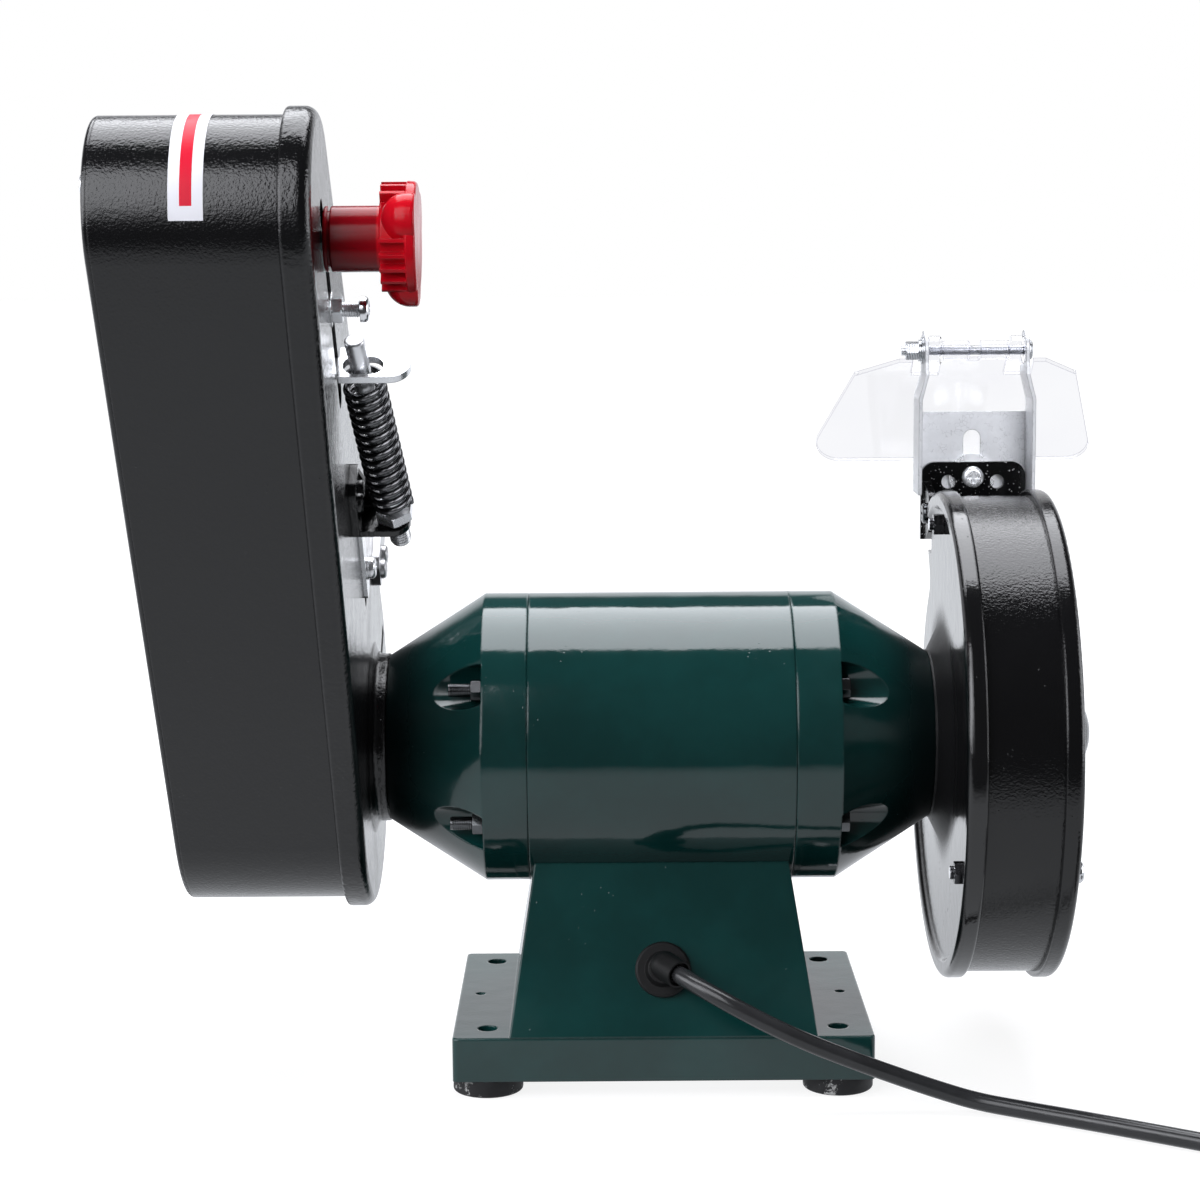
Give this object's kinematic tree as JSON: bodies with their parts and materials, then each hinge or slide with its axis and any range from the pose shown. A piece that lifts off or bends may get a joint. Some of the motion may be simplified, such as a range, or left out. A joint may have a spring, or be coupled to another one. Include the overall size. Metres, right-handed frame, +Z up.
{
  "type": "bench grinder with belt sander arm",
  "caption": "Bench-mounted electric motor with a guarded grinding wheel on one end, a tilting enclosed belt sander arm on the other, a clear eye shield and work rests.",
  "frame": {"origin": "bench surface under the middle of the four base bolt holes", "axes": "+X along the spindle towards the grinding wheel, +Y towards the operator, +Z up"},
  "size_m": [0.5035, 0.3283, 0.3829],
  "materials": {
    "green_paint": "dark green gloss enamel",
    "black_paint": "black gloss paint with orange peel",
    "zinc_plate": "bright zinc plating",
    "black_oxide": "black oxide, oiled",
    "bare_steel": "machined steel",
    "copper": "enamelled copper wire",
    "cast_aluminium": "turned",
    "rubber": "satin black",
    "black_plastic": "fine matte",
    "red_plastic": "moulded gloss",
    "clear_plastic": "clear polycarbonate",
    "abrasive_wheel": "vitrified grit",
    "abrasive_cloth": "aluminium oxide grit on cloth"
  },
  "bodies": {
    "base": {"base_pedestal": "green_paint", "bottom_plate": "zinc_plate", "bottom_plate_screws": "zinc_plate", "rubber_feet": "rubber", "stator_shell": "green_paint", "stator_core": "bare_steel", "stator_winding": "copper", "end_bell_left": "green_paint", "end_bell_right": "green_paint", "tie_bolts": "black_oxide", "bearing_outer_rings": "bare_steel", "run_capacitor": "black_plastic", "switch_body": "black_plastic", "cord_gland": "rubber", "power_cord": "rubber", "cord_coil": "rubber", "cord_tie": "rubber", "plug": "black_plastic", "guard_inner": "black_paint", "guard_band": "black_paint", "guard_cover": "black_paint", "guard_screws": "zinc_plate", "guard_nuts": "black_oxide", "spark_bracket": "black_paint", "bracket_screws": "zinc_plate", "clamp_washers": "zinc_plate", "wheel_rest_arm": "black_paint", "wheel_rest_screw": "black_oxide"},
    "spindle": {"spindle_shaft": "bare_steel", "rotor": "bare_steel", "bearing_inner_rings": "bare_steel", "bearing_balls": "bare_steel", "wheel_flanges": "bare_steel", "grinding_wheel": "abrasive_wheel", "spindle_nuts": "bare_steel", "drive_drum": "cast_aluminium"},
    "belt_arm": {"arm_casting": "black_paint", "arm_lock_screw": "zinc_plate", "belt_cover": "black_paint", "side_cover": "black_paint", "side_cover_screws": "zinc_plate", "sanding_belt": "abrasive_cloth", "platen": "bare_steel", "platen_bracket": "zinc_plate", "belt_rest": "bare_steel", "spring_bracket": "black_paint", "tension_rod": "zinc_plate", "tension_spring": "black_oxide"},
    "tensioner": {"tension_carriage": "zinc_plate", "idler_axle": "bare_steel"},
    "idler": {"idler_roller": "cast_aluminium"},
    "knob": {"tracking_knob": "red_plastic"},
    "tracking": {"tracking_screw": "zinc_plate"},
    "shield_slide": {"shield_arm": "zinc_plate", "shield_hinge_bolt": "zinc_plate", "shield_bushings": "clear_plastic"},
    "shield": {"eye_shield": "clear_plastic"},
    "wing_nut": {"shield_wing_nut": "zinc_plate"},
    "wheel_rest": {"wheel_rest_table": "bare_steel"},
    "switch": {"switch_rocker": "red_plastic"}
  },
  "joints": [
    {"name": "spindle_spin", "type": "hinge", "parent": "base", "child": "spindle", "pos_m": [0, 0, 0.134], "axis": [1, 0, 0], "continuous": true},
    {"name": "arm_tilt", "type": "hinge", "parent": "base", "child": "belt_arm", "pos_m": [-0.115, 0, 0.134], "axis": [1, 0, 0], "range_deg": [-39.6, 50.3]},
    {"name": "belt_tension", "type": "slide", "parent": "belt_arm", "child": "tensioner", "axis": [0, -0.6381, 0.77], "range_m": [-0.008, 0], "stiffness_N_per_m": 4000, "springref_m": 0.015, "deforming": ["tension_spring"]},
    {"name": "idler_spin", "type": "hinge", "parent": "tensioner", "child": "idler", "pos_m": [-0.16, -0.16935, 0.33835], "axis": [1, 0, 0], "continuous": true},
    {"name": "knob_turn", "type": "hinge", "parent": "tensioner", "child": "knob", "pos_m": [-0.1, -0.16935, 0.33835], "axis": [1, 0, 0], "continuous": true},
    {"name": "tracking_turn", "type": "hinge", "parent": "tensioner", "child": "tracking", "pos_m": [-0.11, -0.14912, 0.31394], "axis": [1, 0, 0], "continuous": true},
    {"name": "shield_height", "type": "slide", "parent": "base", "child": "shield_slide", "axis": [0, 0, 1], "range_m": [-0.016, 0]},
    {"name": "shield_tilt", "type": "hinge", "parent": "shield_slide", "child": "shield", "pos_m": [0.136, 0.054, 0.2887], "axis": [1, 0, 0], "range_deg": [-5, 100]},
    {"name": "wing_nut_turn", "type": "hinge", "parent": "base", "child": "wing_nut", "pos_m": [0.1362, 0.07, 0.2343], "axis": [0, 1, 0], "continuous": true},
    {"name": "wheel_rest_slide", "type": "slide", "parent": "base", "child": "wheel_rest", "axis": [0, 1, 0], "range_m": [0, 0.009]},
    {"name": "switch_rock", "type": "hinge", "parent": "base", "child": "switch", "pos_m": [0, 0.0544, 0.0494], "axis": [1, 0, 0], "range_deg": [0, 16]}
  ],
  "couplings": [
    {"joint": "idler_spin", "follows": "spindle_spin", "ratio": 2.2775}
  ]
}
